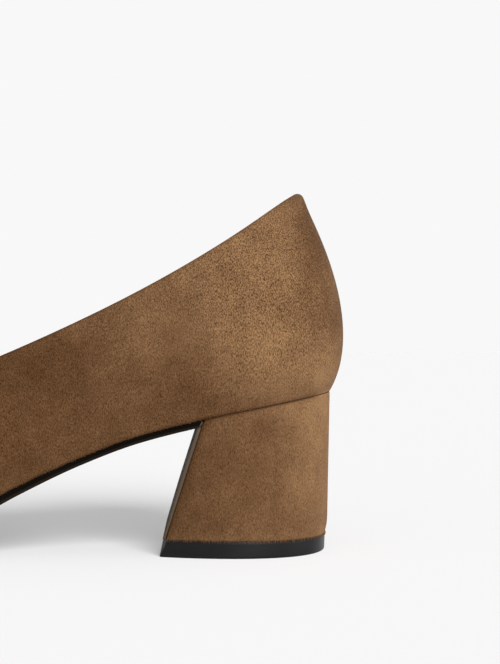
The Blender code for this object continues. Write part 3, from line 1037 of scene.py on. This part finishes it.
def fringeTree(name, material):
    tree = bpy.data.node_groups.new(name, "GeometryNodeTree")
    face = tree.interface
    face.new_socket("Guide", in_out="INPUT", socket_type="NodeSocketGeometry")
    for label, kind in (
        ("Spacing", "Float"), ("Length", "Float"), ("Radius", "Float"), ("Tilt", "Float"), ("Seed", "Int"),
    ):
        face.new_socket(label, in_out="INPUT", socket_type="NodeSocket" + kind)
    face.new_socket("Fringe", in_out="OUTPUT", socket_type="NodeSocketGeometry")
    start, end = addNode(tree, "NodeGroupInput"), addNode(tree, "NodeGroupOutput")
    path = addNode(tree, "GeometryNodeMeshToCurve")
    roots = addNode(tree, "GeometryNodeCurveToPoints", mode="LENGTH")
    fibreSize = {"Vertices": fringeCut["sides"], "Radius Top": fringeCut["tipRadius"] * mm}
    fibre = addNode(tree, "GeometryNodeMeshCone", fibreSize, fill_type="NGON")
    lowTilt = mathNode(tree, "SUBTRACT", math.pi, start.outputs["Tilt"])
    highTilt = mathNode(tree, "ADD", math.pi, start.outputs["Tilt"])
    lowTurn, highTurn = addNode(tree, "ShaderNodeCombineXYZ"), addNode(tree, "ShaderNodeCombineXYZ")
    highTurn.inputs["Z"].default_value = 2 * math.pi
    turn = addNode(tree, "FunctionNodeRandomValue", data_type="FLOAT_VECTOR")
    (small, large), (dark, light) = fringeCut["sizes"], fringeCut["napAndShade"]
    size = addNode(tree, "FunctionNodeRandomValue", {2: small, 3: large}, data_type="FLOAT")
    shade = addNode(tree, "FunctionNodeRandomValue", {2: dark, 3: light}, data_type="FLOAT")
    planted = addNode(tree, "GeometryNodeInstanceOnPoints")
    shaded = addNode(
        tree, "GeometryNodeStoreNamedAttribute", {"Name": "napAndShade"}, data_type="FLOAT", domain="INSTANCE"
    )
    joined = addNode(tree, "GeometryNodeRealizeInstances")
    finished = addNode(tree, "GeometryNodeSetMaterial", {"Material": material})
    for source, target in (
        (start.outputs["Guide"], path.inputs["Mesh"]),
        (path.outputs["Curve"], roots.inputs["Curve"]),
        (start.outputs["Spacing"], roots.inputs["Length"]),
        (start.outputs["Length"], fibre.inputs["Depth"]),
        (start.outputs["Radius"], fibre.inputs["Radius Bottom"]),
        (lowTilt, lowTurn.inputs["X"]),
        (highTilt, highTurn.inputs["X"]),
        (lowTurn.outputs[0], turn.inputs["Min"]),
        (highTurn.outputs[0], turn.inputs["Max"]),
        *((start.outputs["Seed"], drawn.inputs["Seed"]) for drawn in (turn, size, shade)),
        (roots.outputs["Points"], planted.inputs["Points"]),
        (fibre.outputs["Mesh"], planted.inputs["Instance"]),
        (turn.outputs["Value"], planted.inputs["Rotation"]),
        (size.outputs[1], planted.inputs["Scale"]),
        (planted.outputs["Instances"], shaded.inputs["Geometry"]),
        (shade.outputs[1], shaded.inputs["Value"]),
        (shaded.outputs["Geometry"], joined.inputs["Geometry"]),
        (joined.outputs["Geometry"], finished.inputs["Geometry"]),
        (finished.outputs["Geometry"], end.inputs["Fringe"]),
    ):
        tree.links.new(source, target)
    return tree


def fringePiece(name, path, closed, cut, material):  # plants fibres along a path on the last
    count = len(path)
    edges = [(i, (i + 1) % count) for i in range(count if closed else count - 1)]
    guideMesh = bpy.data.meshes.new(name + "Guide")
    guideMesh.from_pydata([tuple(p) for p in placed(path)], edges, [])
    guide = bpy.data.objects.new(name + "Guide", guideMesh)
    scene.collection.objects.link(guide)
    sizes = {
        "Spacing": cut["spacing"] * mm,
        "Length": cut["length"] * mm,
        "Radius": cut["radius"] * mm,
        "Tilt": math.radians(cut["tilt"]),
        "Seed": cut["seed"],
    }
    tree = fringeTree(name, material)
    modifier = guide.modifiers.new("fringe", "NODES")
    modifier.node_group = tree
    for socket in tree.interface.items_tree:
        if socket.name in sizes:
            modifier[socket.identifier] = sizes[socket.name]
    evaluated = guide.evaluated_get(bpy.context.evaluated_depsgraph_get())
    mesh = bpy.data.meshes.new_from_object(evaluated)
    mesh.name = name
    guide.modifiers.remove(modifier)
    bpy.data.objects.remove(guide)
    piece = bpy.data.objects.new(name, mesh)
    scene.collection.objects.link(piece)
    print(name + ":", len(mesh.polygons), "faces")
    return piece


lowRing = heelRings[fringeCut["heel"]["row"]]
innerStart = heelCut["sidePoints"] + heelCut["breastPoints"] - 2
heelEdgePath = np.vstack([lowRing[innerStart:], lowRing[: heelCut["sidePoints"]]])
heelFringe = fringePiece("heelFringe", heelEdgePath, False, fringeCut["heel"], heelMaterial)
hemEdgePath = underRows[fringeCut["hem"]["row"]]
hemFringe = fringePiece("hemFringe", hemEdgePath, True, fringeCut["hem"], upperMaterial)

pieces = (
    (upperSuede, upperMaterial, "suede", ("upper",)),
    (lining, smooth["tanLining"], "lining", ()),
    (sock, smooth["tanSock"], "lining", ("insole",)),
    (heelBlock, heelMaterial, "heel_cover", ("heel",)),
    (toplift, smooth["blackRubber"], "toplift", ("toplift",)),
    (outsole, smooth["blackSole"], "sole", ("outsole",)),
    (heelFringe, None, "heel_cover", ()),
    (hemFringe, None, "suede", ()),
)
for piece, material, slotName, nodes in pieces:
    if material:
        piece.data.materials.append(material)
    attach(piece, "root")
    if nodes:
        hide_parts(*nodes)
print("pieces:", len(pieces))

# Studio: a pale floor that runs into the background. A soft key and a back fill light the shoe only,
# a floor key gives the floor its shadow, and a side fill lights both.
studio = {
    "background": tone(248, 248, 248),
    "floorSize": 60.0,
    "floorLook": {
        "Base Color": (0.4, 0.4, 0.4, 1),
        "Emission Color": (1, 1, 1, 1),
        "Emission Strength": 0.318,
        "Roughness": 1.0,
        "Specular IOR Level": 0.0,
    },
    "lights": {
        "softKey": {"direction": (0.24, -0.86, 0.45), "strength": 2.8, "spread": 35, "on": "shoe"},
        "floorKey": {"direction": (0.31, -0.79, 0.515), "strength": 6.36, "spread": 34, "on": "floor"},
        "sideFill": {"direction": (0.95, -0.3, 0.1), "strength": 1.0, "spread": 40},
        "backFill": {"direction": (0.1, 0.85, 0.46), "strength": 1.8, "spread": 60, "on": "shoe"},
    },
    "skyDirection": (0.75, -0.65, 0.1),
    "skyLow": 0.0,
    "skyHigh": 1.04,
}
scene.view_settings.view_transform = "Standard"

floorMesh = bmesh.new()
bmesh.ops.create_grid(floorMesh, x_segments=1, y_segments=1, size=studio["floorSize"] / 2)
floor = finishMesh(floorMesh, "floor")
if floor.data.polygons[0].normal.z < 0:
    floor.data.flip_normals()
floorMaterial, _, floorShader = newMaterial("paleFloor")
setSockets(floorShader, studio["floorLook"])
floor.data.materials.append(floorMaterial)

lit = {name: bpy.data.collections.new(name + "Light") for name in ("shoe", "floor")}
lit["floor"].objects.link(floor)
for piece, *_ in pieces:
    lit["shoe"].objects.link(piece)
for name, light in studio["lights"].items():
    sun = bpy.data.lights.new(name, "SUN")
    sun.energy = light["strength"]
    sun.angle = math.radians(light["spread"])
    sunObject = bpy.data.objects.new(name, sun)
    sunObject.rotation_euler = Vector(light["direction"]).to_track_quat("Z", "Y").to_euler()
    scene.collection.objects.link(sunObject)
    if "on" in light:
        sunObject.light_linking.receiver_collection = lit[light["on"]]

world = bpy.data.worlds.new("studio")
scene.world = world
world.use_nodes = True
sky = world.node_tree
sky.nodes.clear()
skyOut = addNode(sky, "ShaderNodeOutputWorld")
skyMix = addNode(sky, "ShaderNodeMixShader")
skyLight = addNode(sky, "ShaderNodeBackground")
skyPlain = addNode(sky, "ShaderNodeBackground", {"Color": studio["background"], "Strength": 1.0})
skyPath = addNode(sky, "ShaderNodeLightPath")
skyCoords = addNode(sky, "ShaderNodeTexCoord")
skyFacing = addNode(sky, "ShaderNodeVectorMath", operation="DOT_PRODUCT")
skyFacing.inputs[1].default_value = Vector(studio["skyDirection"]).normalized()
skyRange = addNode(
    sky, "ShaderNodeMapRange",
    {"From Min": -1.0, "From Max": 1.0, "To Min": studio["skyLow"], "To Max": studio["skyHigh"]},
)
for source, target in (
    (skyCoords.outputs["Generated"], skyFacing.inputs[0]),
    (skyFacing.outputs["Value"], skyRange.inputs["Value"]),
    (skyRange.outputs["Result"], skyLight.inputs["Strength"]),
    (skyPath.outputs["Is Camera Ray"], skyMix.inputs["Fac"]),
    (skyLight.outputs[0], skyMix.inputs[1]),
    (skyPlain.outputs[0], skyMix.inputs[2]),
    (skyMix.outputs[0], skyOut.inputs["Surface"]),
):
    sky.links.new(source, target)

# Camera: level, at the height of the counter, across from the top of the heel's breast
shot = {
    "eye": (74.85, -420.70, 62.8),
    "yaw": 2.0,
    "focalPixels": 1313,
    "frame": (500, 664),
    "horizon": 350,
    "sensor": 36.0,
    "clip": (0.01, 100),
}
camera = bpy.data.cameras.new("shot")
camera.sensor_fit = "AUTO"
camera.sensor_width = shot["sensor"]
camera.lens = shot["focalPixels"] * shot["sensor"] / shot["frame"][1]
camera.shift_y = (shot["horizon"] - shot["frame"][1] / 2) / shot["frame"][1]
camera.clip_start, camera.clip_end = shot["clip"]
cameraObject = bpy.data.objects.new("shot", camera)
cameraObject.location = Vector(shot["eye"]) * mm
cameraObject.rotation_euler = (math.pi / 2, 0, -math.radians(shot["yaw"]))
scene.collection.objects.link(cameraObject)
scene.camera = cameraObject
print("studio:", len(studio["lights"]), "lights, lens", round(camera.lens, 1), "mm")
